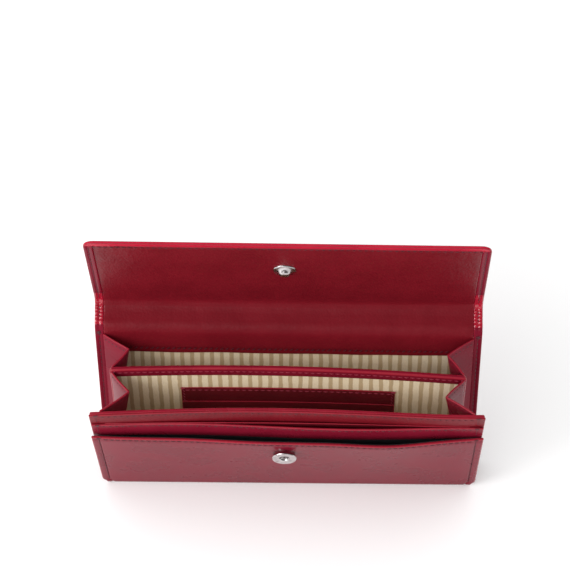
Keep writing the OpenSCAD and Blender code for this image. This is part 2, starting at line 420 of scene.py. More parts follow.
class Run:
    """The outer face of the leather from the front panel's top, under the base and up to the flap's edge."""

    def __init__(self, corners: Sequence[tuple[float, float]], radii: Sequence[float]) -> None:
        """Lays the run through its corners.

        Args:
            corners: (y, z) of each corner, ends included.
            radii: fold radius at each corner but the two ends.
        """
        self.points = [Vector(c) for c in corners]
        self.radii = [0.0, *radii, 0.0]
        self.starts = [0.0]
        for a, b in zip(self.points, self.points[1:]):
            self.starts.append(self.starts[-1] + (b - a).length)

    def direction(self, i: int) -> Vector:
        """The unit direction of stretch i."""
        return (self.points[i + 1] - self.points[i]).normalized()

    def _reach(self, i: int) -> float:
        """How far the fold at corner i reaches along each of its stretches."""
        if not 0 < i < len(self.points) - 1:
            return 0.0
        turn = self.direction(i - 1).angle(self.direction(i))
        return self.radii[i] * math.tan(turn / 2)

    def at(self, u: float) -> tuple[Vector, Vector]:
        """The outer face at a distance along the run.

        Args:
            u: distance from the run's start, in metres.

        Returns:
            The point, and the unit direction out of the leather.
        """
        i = 0
        while i < len(self.points) - 2 and u > self.starts[i + 1]:
            i += 1
        for corner in (i, i + 1):
            reach = self._reach(corner)
            if reach and abs(u - self.starts[corner]) < reach:
                return self._fold(corner, (u - self.starts[corner] + reach) / (2 * reach), reach)
        t = self.direction(i)
        return self.points[i] + t * (u - self.starts[i]), Vector((t.y, -t.x))

    def _fold(self, i: int, share: float, reach: float) -> tuple[Vector, Vector]:
        """The point and outward direction at a share of the fold at corner i."""
        before, after = self.direction(i - 1), self.direction(i)
        side = 1.0 if before.x * after.y - before.y * after.x > 0 else -1.0
        turn = before.angle(after)
        normal = Vector((-before.y, before.x)) * side
        centre = self.points[i] - before * reach + normal * self.radii[i]
        a = turn * share * side
        c, s = math.cos(a), math.sin(a)
        t = Vector((before.x * c - before.y * s, before.x * s + before.y * c))
        back = Vector((-t.y, t.x)) * side
        return centre - back * self.radii[i], Vector((t.y, -t.x))


# ---------------------------------------------------------------- the bench


@dataclass
class Cut:
    """A flat blank: its outline, thickness, rounding and the lines it is cut along."""

    width: float
    low: float
    high: float
    face: float
    thick: float
    low_round: float = 0.0
    high_round: float = 0.0
    edge_round: float = 0.0004
    square_low: bool = False
    square_high: bool = False
    columns: int = 24
    rows: int = 8
    extra_x: tuple[float, ...] = ()
    extra_z: tuple[float, ...] = ()

    @classmethod
    def sharp(cls, width: float, low: float, high: float, face: float, thick: float,
              columns: int = 30, rows: int = 10) -> "Cut":
        """A cut with square edges, for board and cloth."""
        return cls(width, low, high, face, thick, edge_round=0.0, columns=columns, rows=rows)


class Bench:
    """Where pieces are cut, stitched, bent into place and dressed."""

    def __init__(self, paints: Paints) -> None:
        """Keeps the paints at hand."""
        self.paints = paints

    @staticmethod
    def clear() -> None:
        """Deselects everything."""
        if bpy.context.object and bpy.context.object.mode != "OBJECT":
            bpy.ops.object.mode_set(mode="OBJECT")
        bpy.ops.object.select_all(action="DESELECT")

    @staticmethod
    def edit() -> None:
        """Opens the active piece for editing with all of it selected."""
        bpy.ops.object.mode_set(mode="EDIT")
        bpy.ops.mesh.select_all(action="SELECT")

    @staticmethod
    def done() -> None:
        """Closes the active piece again."""
        bpy.ops.object.mode_set(mode="OBJECT")

    @staticmethod
    def _pick(obj: Piece, wanted: Callable[[Vector], bool]) -> None:
        """Selects an object's vertices by their place, and goes back to edit mode."""
        bpy.ops.object.mode_set(mode="OBJECT")
        for polygon in obj.data.polygons:
            polygon.select = False
        for edge in obj.data.edges:
            edge.select = False
        for vertex in obj.data.vertices:
            vertex.select = wanted(vertex.co)
        bpy.ops.object.mode_set(mode="EDIT")

    @staticmethod
    def _modify(kind: str, settings: dict[str, object]) -> None:
        """Adds a modifier to the active object and applies it."""
        bpy.ops.object.modifier_add(type=kind)
        modifier = bpy.context.object.modifiers[-1]
        for key, value in settings.items():
            setattr(modifier, key, value)
        bpy.ops.object.modifier_apply(modifier=modifier.name)

    def blank(self, name: str, cut: Cut) -> Piece:
        """Cuts a blank with rounded corners and edges, lying upright at its own place.

        Args:
            name: the piece's name.
            cut: the blank's sizes.

        Returns:
            The new object.
        """
        self.clear()
        spare = 2 * cut.edge_round
        low = cut.low - (spare if cut.square_low else 0.0)
        high = cut.high + (spare if cut.square_high else 0.0)
        middle = (low + high) / 2
        bpy.ops.mesh.primitive_plane_add(size=1, location=(0, cut.face, middle), rotation=(math.pi / 2, 0, 0))
        obj = bpy.context.object
        obj.name = name
        obj.scale = (cut.width, high - low, 1)
        obj.data.materials.append(self.paints.of(Finish.COVER))
        # The second material, for the rounded edges, is a lighter copy of the leather: painted highlight.
        obj.data.materials.append(self.paints.of(Finish.EDGE))
        bpy.ops.object.transform_apply(location=True, rotation=True, scale=True)
        bpy.ops.object.mode_set(mode="EDIT")
        bpy.ops.mesh.select_mode(type="VERT")
        half = cut.width / 2
        for radius, upper in ((cut.low_round, False), (cut.high_round, True)):
            if radius > 0:
                self._pick(obj, lambda v, up=upper: (v.z > middle) == up and abs(abs(v.x) - half) < 1e-6)
                bpy.ops.mesh.bevel(offset=radius, offset_type="OFFSET", segments=6, affect="VERTICES")
        self._slice(cut)
        Bench.done()
        self._modify("SOLIDIFY", {"thickness": cut.thick, "offset": -1.0})
        if cut.edge_round > 0:
            self._modify("BEVEL", {
                "width": cut.edge_round, "segments": 3, "limit_method": "ANGLE",
                "angle_limit": math.radians(60), "material": 1,
            })
        for square, z, outward in ((cut.square_low, cut.low, -1), (cut.square_high, cut.high, 1)):
            if square:
                Bench.edit()
                bpy.ops.mesh.bisect(
                    plane_co=(0, 0, z), plane_no=(0, 0, outward), use_fill=True, clear_outer=True
                )
                Bench.done()
        return obj

    @staticmethod
    def _slice(cut: Cut) -> None:
        """Slices the blank into columns and rows so that it can bend."""
        xs = [cut.width * (i / cut.columns - 0.5) for i in range(1, cut.columns)] + list(cut.extra_x)
        zs = [cut.low + (cut.high - cut.low) * i / cut.rows for i in range(1, cut.rows)] + list(cut.extra_z)
        for x in xs:
            bpy.ops.mesh.select_all(action="SELECT")
            bpy.ops.mesh.bisect(plane_co=(x, 0, 0), plane_no=(1, 0, 0))
        for z in zs:
            bpy.ops.mesh.select_all(action="SELECT")
            bpy.ops.mesh.bisect(plane_co=(0, 0, z), plane_no=(0, 0, 1))

    def lay(self, obj: Piece, place: Point, shape: Shape | None = None) -> Piece:
        """Bends a blank to its shape and lays it in its place.

        Args:
            obj: the blank.
            place: its frame, from blank to wallet.
            shape: how the blank bows, dips and creases first.

        Returns:
            The same object, with its place in its mesh.
        """
        for vertex in obj.data.vertices:
            v = vertex.co
            if shape:
                v = shape(v.x, v.y, v.z)
            vertex.co = place(v.x, v.y, v.z)
        obj.data.update()
        self.clear()
        obj.select_set(True)
        bpy.context.view_layer.objects.active = obj
        Bench.edit()
        bpy.ops.mesh.remove_doubles(threshold=1e-6)
        bpy.ops.mesh.normals_make_consistent(inside=False)
        Bench.done()
        bpy.ops.object.shade_smooth_by_angle(angle=math.radians(50))
        return obj

    def dress(self, obj: Piece, finish: Finish, slot: str) -> Piece:
        """Gives a piece its finish; leather slots keep the lighter edge colour, a painted highlight on their
        rounded edges.
        """
        paint = self.paints.of(finish)
        if len(obj.data.materials) == 2:
            obj.data.materials[0] = paint
            if slot not in ("outer_leather", "inner_leather", "edge_leather"):
                obj.data.materials.pop(index=1)
        else:
            obj.data.materials.clear()
            obj.data.materials.append(paint)
        return obj

    def stitches(self, name: str, start: tuple[float, float], end: tuple[float, float], face: float,
                 pitch: float = 3.0 * MM, slant: float = 0.0, thick: float = 0.26 * MM) -> Piece:
        """A row of stitches lying on a face, still in the blank's frame.

        Args:
            name: the row's name.
            start: (x, z) of its first end.
            end: (x, z) of its last end.
            face: y of the face the thread lies on.
            pitch: the length of one stitch with its gap.
            slant: how far each stitch is turned off the row, in radians.
            thick: the thread's radius.

        Returns:
            The row's object.
        """
        self.clear()
        run = Vector((end[0] - start[0], end[1] - start[1]))
        count = max(1, int(run.length / pitch))
        step = run / count
        filled = 0.72
        bpy.ops.mesh.primitive_cylinder_add(
            vertices=6, radius=thick, depth=step.length * filled, rotation=(0, math.pi / 2, 0)
        )
        obj = bpy.context.object
        obj.name = name
        bpy.ops.object.transform_apply(location=True, rotation=True, scale=True)
        Bench.edit()
        bpy.ops.mesh.bisect(plane_co=(0, 0, 0), plane_no=(1, 0, 0))
        Bench.done()
        half = step.length * filled / 2
        for vertex in obj.data.vertices:
            dip = (vertex.co.x / half) ** 2
            vertex.co.z *= 1.0 - 0.45 * dip
            vertex.co.y = vertex.co.y * (0.8 - 0.35 * dip) + 0.22 * MM * dip
        angle = math.atan2(run.y, run.x)
        obj.data.transform(Matrix.Rotation(-angle - slant, 4, "Y"))
        first = (start[0] + step.x / 2, face - 0.05 * MM, start[1] + step.y / 2)
        obj.data.transform(Matrix.Translation(first))
        if count > 1:
            self._modify("ARRAY", {
                "count": count, "use_relative_offset": False, "use_constant_offset": True,
                "constant_offset_displace": (step.x, 0, step.y),
            })
        return obj

    def knot(self, place: tuple[float, float], face: float) -> Piece:
        """A small bar of doubled-back stitches, still in the blank's frame.

        Args:
            place: (x, z) of its middle.
            face: y of the face it lies on.

        Returns:
            The knot's object.
        """
        half, (x, middle), bars = 1.7 * MM, place, []
        for dz, tilt in ((-0.45, 0.12), (0.0, -0.2), (0.4, 0.25)):
            z = middle + dz * MM
            bars.append(self.stitches("k", (x - half, z), (x + half, z), face, 3.4 * MM, tilt))
        return self.join("k", bars)

    def join(self, name: str, parts: Sequence[Piece]) -> Piece:
        """Joins parts of one thread or trim into one piece."""
        self.clear()
        for part in parts:
            part.select_set(True)
        bpy.context.view_layer.objects.active = parts[0]
        if len(parts) > 1:
            bpy.ops.object.join()
        parts[0].name = name
        return parts[0]


def groove(distance: float, width: float, depth: float) -> float:
    """How deep a sewn channel presses the leather at a distance from its middle."""
    return depth * hump(distance, width)


# ---------------------------------------------------------------- the wallet


@dataclass
class Layout:
    """The wallet's frames and the leather's outer run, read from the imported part."""

    half: float = 95.0 * MM
    back_thick: float = 2.6 * MM
    spine_thick: float = 1.7 * MM
    flap_thick: float = 1.9 * MM
    flap_lean: float = math.radians(20.9)
    flap_length: float = 68.4 * MM
    front_face: float = 2.05 * MM
    front_top: float = 66.8 * MM
    back_height: float = 91.2 * MM
    flap_drop: float = 1.5 * MM
    flap_slide: float = 1.9 * MM
    skew: float = 0.8 * MM
    snap_x: float = -1.5 * MM
    folds: tuple[float, ...] = (2.6 * MM, 2.4 * MM, 6.0 * MM, 6.5 * MM)
    section: Wall = field(init=False)
    divider: Wall = field(init=False)
    back: Wall = field(init=False)
    spine: Wall = field(init=False)
    flap: Wall = field(init=False)
    run: Run = field(init=False)

    def __post_init__(self) -> None:
        """Reads the hinges and sets up the frames and the run."""
        joints = {j["name"]: j for j in frame["record"]["behaviour"]["joints"]}

        def hinge(name: str) -> Vector:
            return Vector(joints[name]["pos_m"])

        def lean(name: str) -> float:
            axis = joints[name]["axis"]
            return math.atan2(-axis[1] * math.copysign(1, axis[2]), abs(axis[2]))

        foot, swing, seam = hinge("section_close"), hinge("divider_swing"), hinge("rear_right_outer_fold")
        self.section = Wall(foot.y, foot.z, lean("front_right_outer_fold"))
        self.divider = Wall(swing.y, swing.z, lean("rear_right_inner_fold"))
        back_lean = lean("rear_right_outer_fold")
        self.back = Wall(seam.y + 0.7 * MM * math.cos(back_lean), 0.0, back_lean)
        fold, crease = hinge("spine_roll"), hinge("flap_fold")
        slope = math.atan2(crease.y - fold.y, crease.z - fold.z)
        self.spine = Wall(fold.y, fold.z, -slope)
        self.flap = Wall(crease.y, crease.z, self.flap_lean)
        self.run = Run(self._corners(), self.folds)

    def _corners(self) -> list[tuple[float, float]]:
        """The corners of the outer face, from the front panel's top to the flap's edge."""
        walls = (
            (self.section, -self.front_face, self.front_top, 0),
            (Wall(0.0, 0.0, -math.pi / 2), 0, 0, 0.01),
            (self.back, self.back_thick, 0, self.back_height),
            (self.spine, self.spine_thick / 2, 0, 0.01),
            (self.flap, self.flap_thick / 2, 0, self.flap_length),
        )
        lines = [(wall.point(0, y, low), wall.point(0, y, high)) for wall, y, low, high in walls]
        corners = [(lines[0][0].y, lines[0][0].z)]
        for (a, b), (c, d) in zip(lines, lines[1:]):
            p, r = Vector((a.y, a.z)), Vector((b.y - a.y, b.z - a.z))
            q, s = Vector((c.y, c.z)), Vector((d.y - c.y, d.z - c.z))
            share = ((q.x - p.x) * s.y - (q.y - p.y) * s.x) / (r.x * s.y - r.y * s.x)
            corners.append(tuple(p + r * share))
        corners.append((lines[-1][1].y, lines[-1][1].z))
        return corners

    def thickness(self, u: float) -> float:
        """The whole thickness of the walls behind the outer run at a distance along it."""
        fold = self.run.starts[3]
        share = clamp((u - fold + 4 * MM) / (8 * MM))
        share = share * share * (3 - 2 * share)
        return self.back_thick + (self.spine_thick - self.back_thick) * share

    def outer(self, x: float, y: float, u: float) -> Vector:
        """A point y deep under the outer face, at u along the run."""
        p, n = self.run.at(u)
        p = p - n * y
        return Vector((x, p.x, p.y)) + self.slump(x, u)

    def slump(self, x: float, u: float) -> Vector:
        """How the back stands higher at one end, and the spine sags a little under the flap."""
        share = clamp((u - self.run.starts[2]) / (80 * MM))
        sag = clamp((u - self.run.starts[3]) / (14 * MM))
        return Vector((0, -self.flap_slide * sag, -self.skew * share * x / self.half - self.flap_drop * sag))

    def inner(self, x: float, y: float, u: float) -> Vector:
        """A point y deep under the inner face, at u along the run."""
        return self.outer(x, self.thickness(u) - y, u)

    def back_u(self, z: float) -> float:
        """The run's distance at a height on the back panel."""
        return self.run.starts[2] + z

    def flatten(self, obj: Piece) -> Piece:
        """Gives a front piece its own copy of its mesh."""
        foot = self.section.point(0, -self.front_face, 0)
        tip = self.section.point(0, -self.front_face - 1.0, 0)
        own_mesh(obj)
        return obj

    def tuck(self, z: float) -> float:
        """How far each bottom corner is drawn in at a height."""
        return 1.8 * MM * max(0.0, 1 - max(0.0, z) / (3.6 * MM)) ** 2

    def bow_front(self, x: float, z: float) -> float:
        """How far the front panel bows out at a place."""
        n = x / self.half
        rise = max(0.0, z / self.front_top) ** 1.6
        swell = 1.9 * hump(n - 0.52, 0.24)
        slack = 1.0 * hump(n + 0.5, 0.28)
        return (1.0 - 0.9 * max(0.0, n) ** 3 + 2.6 * (1 - n * n) + swell - slack) * MM * rise

    def bow_wall(self, x: float, z: float) -> float:
        """How far the tall wall bows to the back at a place."""
        n = x / self.half
        rise = max(0.0, z / (88.6 * MM)) ** 1.5
        lift = max(0.0, math.cos(min(1.0, abs(n + 0.12) / 0.95) * math.pi / 2)) ** 1.3
        return (2.7 * lift - 0.5 * max(0.0, -n) ** 3) * MM * rise

    def bow_pocket(self, x: float, z: float) -> float:
        """How far the pocket wall waves to the back at a place."""
        n = x / self.half
        rise = max(0.0, z / (76.4 * MM)) ** 1.5
        return -1.2 * MM * math.sin(math.pi * (n + 0.12) / 0.95) * (1 - n**4) * rise

    def bow_divider(self, x: float, z: float) -> float:
        """How far the divider bows and skews to the back at a place."""
        n = x / (86 * MM)
        rise = max(0.0, z / (85.5 * MM)) ** 1.3
        return (3.0 * MM * (1 - n * n) - 1.6 * MM * n) * rise


@dataclass
class SubAssembly:
    """Pieces made together at the bench and laid in the layout's frames."""

    bench: Bench
    layout: Layout

    def hang(self, obj: Piece, place: Point, shape: Shape | None, finish: Finish, slot: str,
             body: str, *nodes: str) -> Piece:
        """Lays and dresses a piece and hangs it on one body.

        Args:
            obj: the blank or the thread.
            place: the frame it is laid in.
            shape: how it bows first.
            finish: its finish.
            slot: the record's material slot.
            body: the body it rides on.
            nodes: the part's nodes that it stands for.

        Returns:
            The same object.
        """
        self.bench.lay(obj, place, shape)
        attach(self.bench.dress(obj, finish, slot), body)
        if nodes:
            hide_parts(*nodes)
        return obj


@dataclass
class Cover(SubAssembly):
    """The outer leather in one run, with the spine, the flap, the inner leather and their seams."""

    leather: float = 1.4 * MM
    leather_round: float = 0.62 * MM
    inner_leather: float = 0.62 * MM
    inner_wide: float = 181.0 * MM
    inner_round: float = 0.25 * MM
    inner_sink: float = 0.12 * MM
    facing_foot: float = 77.4 * MM
    facing_seam: float = 2.9 * MM
    side_seam: float = 92.75 * MM
    fold_reach: float = 3.0 * MM
    base_middle: float = field(init=False)
    spine_middle: float = field(init=False)
    end: float = field(init=False)

    def __post_init__(self) -> None:
        """Finds where the lengths of leather meet along the run."""
        starts = self.layout.run.starts
        self.base_middle = (starts[1] + starts[2]) / 2
        self.spine_middle = (starts[3] + starts[4]) / 2
        self.end = starts[5]

    def _folds(self, corner: int) -> tuple[float, ...]:
        """Rows to slice close together around a fold."""
        u = self.layout.run.starts[corner]
        return tuple(u + k * 0.8 * MM for k in range(-4, 5))

    def _wrap(self, obj: Piece, place: Point, shape: Shape, finish: Finish, slot: str,
              corner: int, *nodes: str) -> Piece:
        """Lays and dresses a piece that crosses a fold, and keeps its place in its mesh.

        Args:
            obj: the blank.
            place: the face of the run it is laid on.
            shape: how it bows first.
            finish: its finish.
            slot: the record's material slot.
            corner: the fold it crosses, 3 for the spine's and 4 for the flap's.
            nodes: the part's nodes that it stands for.

        Returns:
            The same object.
        """
        self.bench.lay(obj, place, shape)
        self.bench.dress(obj, finish, slot)
        run = self.layout.run
        a = run.points[corner] - run.direction(corner - 1) * self.fold_reach
        b = run.points[corner] + run.direction(corner) * self.fold_reach
        before, after = ("back", "spine") if corner == 3 else ("spine", "flap")
        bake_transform(obj)
        if nodes:
            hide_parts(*nodes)
        return obj

    def front(self) -> list[Piece]:
        """The glossy front panel with its sewn channels, and its foot that bends under the base."""
        layout = self.layout
        side = layout.half - 3.3 * MM
        split = layout.front_top - 6 * MM
        outer_part = 0.8 * MM

        def shape(x: float, y: float, u: float) -> Vector:
            z = layout.front_top - u
            press = groove(abs(x) - side, 0.6 * MM, 0.42 * MM) + groove(u - 1.8 * MM, 0.6 * MM, 0.2 * MM)
            wide = x * (1 - layout.tuck(z) / layout.half)
            return Vector((wide, y - layout.bow_front(x, z) + (press if y < outer_part else 0.0), u))

        columns = tuple(s * (side + k * 0.7 * MM) for s in (-1, 1) for k in (-1.4, -0.7, 0, 0.7, 1.4, 3.2))
        made = []
        for name, low, high, rows in (
            ("front_panel_leather", 0.0, split, mm(1.0, 1.6, 2.2, 3.0)),
            ("front_foot_leather", split, self.base_middle, self._folds(1)),
        ):
            obj = self.bench.blank(name, Cut(
                2 * layout.half, low, high, 0.0, self.leather, edge_round=self.leather_round,
                square_low=low > 0, square_high=True, columns=40, rows=10, extra_x=columns, extra_z=rows,
            ))
            self.bench.lay(obj, layout.outer, shape)
            made.append(self.bench.dress(obj, Finish.COVER, "outer_leather"))
        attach(made[0], "front_section")
        layout.flatten(made[0])
        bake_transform(made[1])
        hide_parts("front_panel")
        return made

    def back(self) -> Piece:
        """The back panel, from the middle of the base to the middle of the spine."""
        layout = self.layout
        obj = self.bench.blank("back_panel_leather", Cut(
            2 * layout.half, self.base_middle, self.spine_middle, 0.0, self.leather,
            edge_round=self.leather_round, square_low=True, square_high=True, columns=20, rows=10,
            extra_z=self._folds(2) + self._folds(3),
        ))

        def shape(x: float, y: float, u: float) -> Vector:
            return Vector((x * (1 - layout.tuck(u - layout.run.starts[2]) / layout.half), y, u))

        nodes = ("back_cover", "base_strip", "spine_cover")
        return self._wrap(obj, layout.outer, shape, Finish.COVER, "outer_leather", 3, *nodes)

    def flap(self) -> list[Piece]:
        """The flap's turned edge, thick at its rim, the outer leather over its back, and its board."""
        layout = self.layout
        corner_round = 5.0
        made = []

        def thinned(x: float, y: float, u: float) -> Vector:
            inside = y > 0.8 * MM and u < self.end - 3.6 * MM and abs(x) < layout.half - 0.9 * MM
            return Vector((x, y - (0.62 * MM if inside else 0.0), u))

        # The turned edge takes the lightest leather, a painted highlight along the flap's top rim.
        for name, inset, deep, thick, soft, finish, slot, node in (
            ("flap_edge_leather", 0.0, 0.12, 1.45, 0.7, Finish.RIM, "edge_leather", "flap_edge"),
            ("flap_cover_leather", 1.0, 0.0, 0.5, 0.2, Finish.COVER, "outer_leather", "flap_cover"),
        ):
            obj = self.bench.blank(name, Cut(
                2 * (layout.half - inset * MM), self.spine_middle, self.end - inset * MM, deep * MM,
                thick * MM, high_round=(corner_round - inset) * MM, edge_round=soft * MM, square_low=True,
                columns=20, rows=8,
                extra_x=tuple(s * (layout.half - k * MM) for s in (-1, 1) for k in (1.0, 2.0)),
                extra_z=self._folds(4) + (self.end - 3.7 * MM, self.end - 3.2 * MM),
            ))
            made.append(self._wrap(obj, layout.outer, thinned, finish, slot, 4, node))
        low, high = layout.run.starts[4] + 6.5 * MM, self.end - 4 * MM
        board = self.bench.blank("flap_stiffener", Cut.sharp(176 * MM, low, high, *mm(0.3, 0.4), 24, 2))
        made.append(self.hang(board, layout.outer, None, Finish.BOARD, "board", "flap", "flap_board"))
        return made

    def inner_lower(self) -> Piece:
        """The inner leather from its sewn edge inside the back, over the fold and onto the spine."""
        layout = self.layout
        low = layout.back_u(self.facing_foot)
        obj = self.bench.blank("back_facing_leather", Cut(
            self.inner_wide, low, self.spine_middle, 0.0, self.inner_leather, edge_round=self.inner_round,
            square_high=True, columns=60, rows=14,
            extra_z=self._folds(3) + (low + 2.0 * MM, low + self.facing_seam, low + 3.8 * MM),
        ))

        def shape(x: float, y: float, u: float) -> Vector:
            edge = hump(u - low, 5 * MM)
            wave = 0.5 * MM * noise.noise(Vector((x / (22 * MM), 3.1, 0.0))) * edge
            press = groove(u - low - self.facing_seam, 0.8 * MM, 0.25 * MM)
            return self._drape(x, y - self.inner_sink + press, u) + Vector((0, 0, wave))

        nodes = ("back_facing", "spine_lining")
        return self._wrap(obj, layout.inner, shape, Finish.INNER, "inner_leather", 3, *nodes)

    def inner_upper(self) -> Piece:
        """The inner leather from the spine's middle over the crease to the flap's free edge."""
        layout = self.layout
        obj = self.bench.blank("flap_lining_leather", Cut(
            self.inner_wide, self.spine_middle, self.end - 2.4 * MM, 0.0, self.inner_leather,
            high_round=1.5 * MM, edge_round=self.inner_round, square_low=True, columns=60, rows=24,
            extra_z=self._folds(4),
        ))

        def shape(x: float, y: float, u: float) -> Vector:
            return self._drape(x, y - self.inner_sink, u)

        return self._wrap(obj, layout.inner, shape, Finish.INNER, "inner_leather", 4, "flap_lining")

    def _drape(self, x: float, y: float, u: float) -> Vector:
        """Lets the inner leather bridge the crease softly and ripple near it."""
        start, half = self.layout.run.starts[4], self.layout.half
        near = hump(u - (start - 1.2 * MM * x / half), 4.6 * MM)
        live = hump(u - start + 7 * MM, 13 * MM) * (1 - hump(u - self.spine_middle, 2.6 * MM))
        ends = 0.35 + 0.65 * abs(x / half) ** 3
        ripple = noise.noise(Vector((x / (9 * MM), u / (5 * MM), 0.7))) * 0.42 * MM
        ripple += noise.noise(Vector((x / (3.2 * MM), u / (2.6 * MM), 4.2))) * 0.13 * MM
        fallen = 0.5 * MM * max(0.0, (-x - 58 * MM) / (32 * MM)) ** 2 if u > start + 8 * MM else 0.0
        return Vector((x, y + fallen - 0.35 * MM * near - (0.1 * MM + ripple) * live * ends, u))

    def side_strip(self, side: int) -> list[Piece]:
        """One sewn side strip, up the back, crinkled over the spine and on up the flap.

        Args:
            side: -1 for the left and 1 for the right.

        Returns:
            The strip's two lengths, met square on the spine.
        """
        layout = self.layout
        run = layout.run
        fold, crease = run.starts[3], run.starts[4]
        hand = "left" if side < 0 else "right"
        crinkle = 2.1 * MM

        def shape(x: float, y: float, u: float) -> Vector:
            ruffle = clamp(min((u - fold + 0.5 * MM) / (1.5 * MM), (crease - 0.5 * MM - u) / (1.5 * MM)))
            turn = (u - fold) / crinkle * 2 * math.pi + (0.9 if x > 0 else -0.4)
            lobe = hump(abs(x) - 1.1 * MM, 0.7 * MM)
            bump = (0.5 + 0.5 * math.sin(turn)) * 0.62 * MM * ruffle * lobe
            press = groove(x, 0.5 * MM, 0.25 * MM)
            return Vector((x + side * (layout.half - 2.25 * MM), y - self.inner_sink - bump + press, u))

        made = []
        rows = tuple(fold + k * crinkle / 5 for k in range(-8, 50))
        for name, low, high in (
            (f"back_strip_{hand}_leather", layout.back_u(1.0 * MM), self.spine_middle),
            (f"flap_strip_{hand}_leather", self.spine_middle, self.end - 3.0 * MM),
        ):
            lower = name.startswith("back")
            obj = self.bench.blank(name, Cut(
                4.1 * MM, low, high, 0.0, 0.6 * MM, edge_round=0.22 * MM, square_low=not lower,
                square_high=lower, columns=8, rows=20, extra_z=tuple(z for z in rows if low < z < high),
            ))
            nodes = (f"back_strip_{hand}",) if lower else ()
            corner = 3 if lower else 4
            self._wrap(obj, layout.inner, shape, Finish.COVER, "outer_leather", corner, *nodes)
            # The crinkled faces over the spine take the brighter, glossier leather: a painted highlight on
            # the crinkles.
            obj.data.materials.append(self.bench.paints.of(Finish.PATENT))
            for face in obj.data.polygons:
                u = fold + (face.center.yz - run.points[3]).dot(run.direction(3))
                above = face.center.z > run.points[3].y - 0.5 * MM
                if fold + 0.5 * MM < u < crease - 1.0 * MM and above:
                    face.material_index = 2
            made.append(obj)
        return made

    def threads(self) -> list[Piece]:
        """The seams of the back, the spine and the flap."""
        layout, bench = self.layout, self.bench
        seam = layout.back_u(self.facing_foot) + self.facing_seam
        fold, crease = layout.run.starts[3], layout.run.starts[4]
        top = self.end - 3.6 * MM
        shin, knee = layout.back_u(5 * MM), layout.back_u(90 * MM)

        def sides(low: float, high: float, face: float, pitch: float) -> list[Piece]:
            return [
                bench.stitches("s", (s * self.side_seam, low), (s * self.side_seam, high), face, pitch)
                for s in (-1, 1)
            ]

        def back() -> list[Piece]:
            slanted = mm(-0.3, 2.6) + (0.6, 0.38 * MM)
            row = bench.stitches("s", (-87 * MM, seam), (87 * MM, seam), *slanted)
            rows = [row, *sides(shin, knee, *mm(-0.05, 2.6))]
            return rows + [bench.knot((s * 92.9 * MM, layout.back_u(90.2 * MM)), -0.3 * MM) for s in (-1, 1)]

        def spine() -> list[Piece]:
            return sides(fold + 4 * MM, crease - 4 * MM, *mm(-0.02, 2.1))

        def flap() -> list[Piece]:
            row = bench.stitches("s", (-91.5 * MM, top), (91.5 * MM, top), *mm(-0.22, 2.8))
            return [row, *sides(crease + 4 * MM, top - 1 * MM, *mm(-0.05, 2.4))]

        made = []
        for body, sew in (("back", back), ("spine", spine), ("flap", flap)):
            thread = bench.join(f"{body}_threads", sew())
            made.append(self.hang(
                thread, layout.inner, None, Finish.THREAD, "thread", body, f"{body}_seams"
            ))
        return made

    def lining(self) -> Piece:
        """The striped lining inside the back."""
        layout = self.layout
        low, high = mm(3.0, 80.5)
        obj = self.bench.blank("back_striped_lining", Cut.sharp(
            self.inner_wide, layout.back_u(low), layout.back_u(high), *mm(0.5, 0.3), 30, 8
        ))
        self.hang(obj, layout.inner, None, Finish.STRIPES, "striped_lining", "back", "back_lining")
        return obj

    def build(self) -> list[Piece]:
        """Builds every piece of the cover."""
        return [
            *self.front(), self.back(), *self.flap(), self.inner_lower(), self.inner_upper(),
            *self.side_strip(-1), *self.side_strip(1), *self.threads(), self.lining(),
        ]


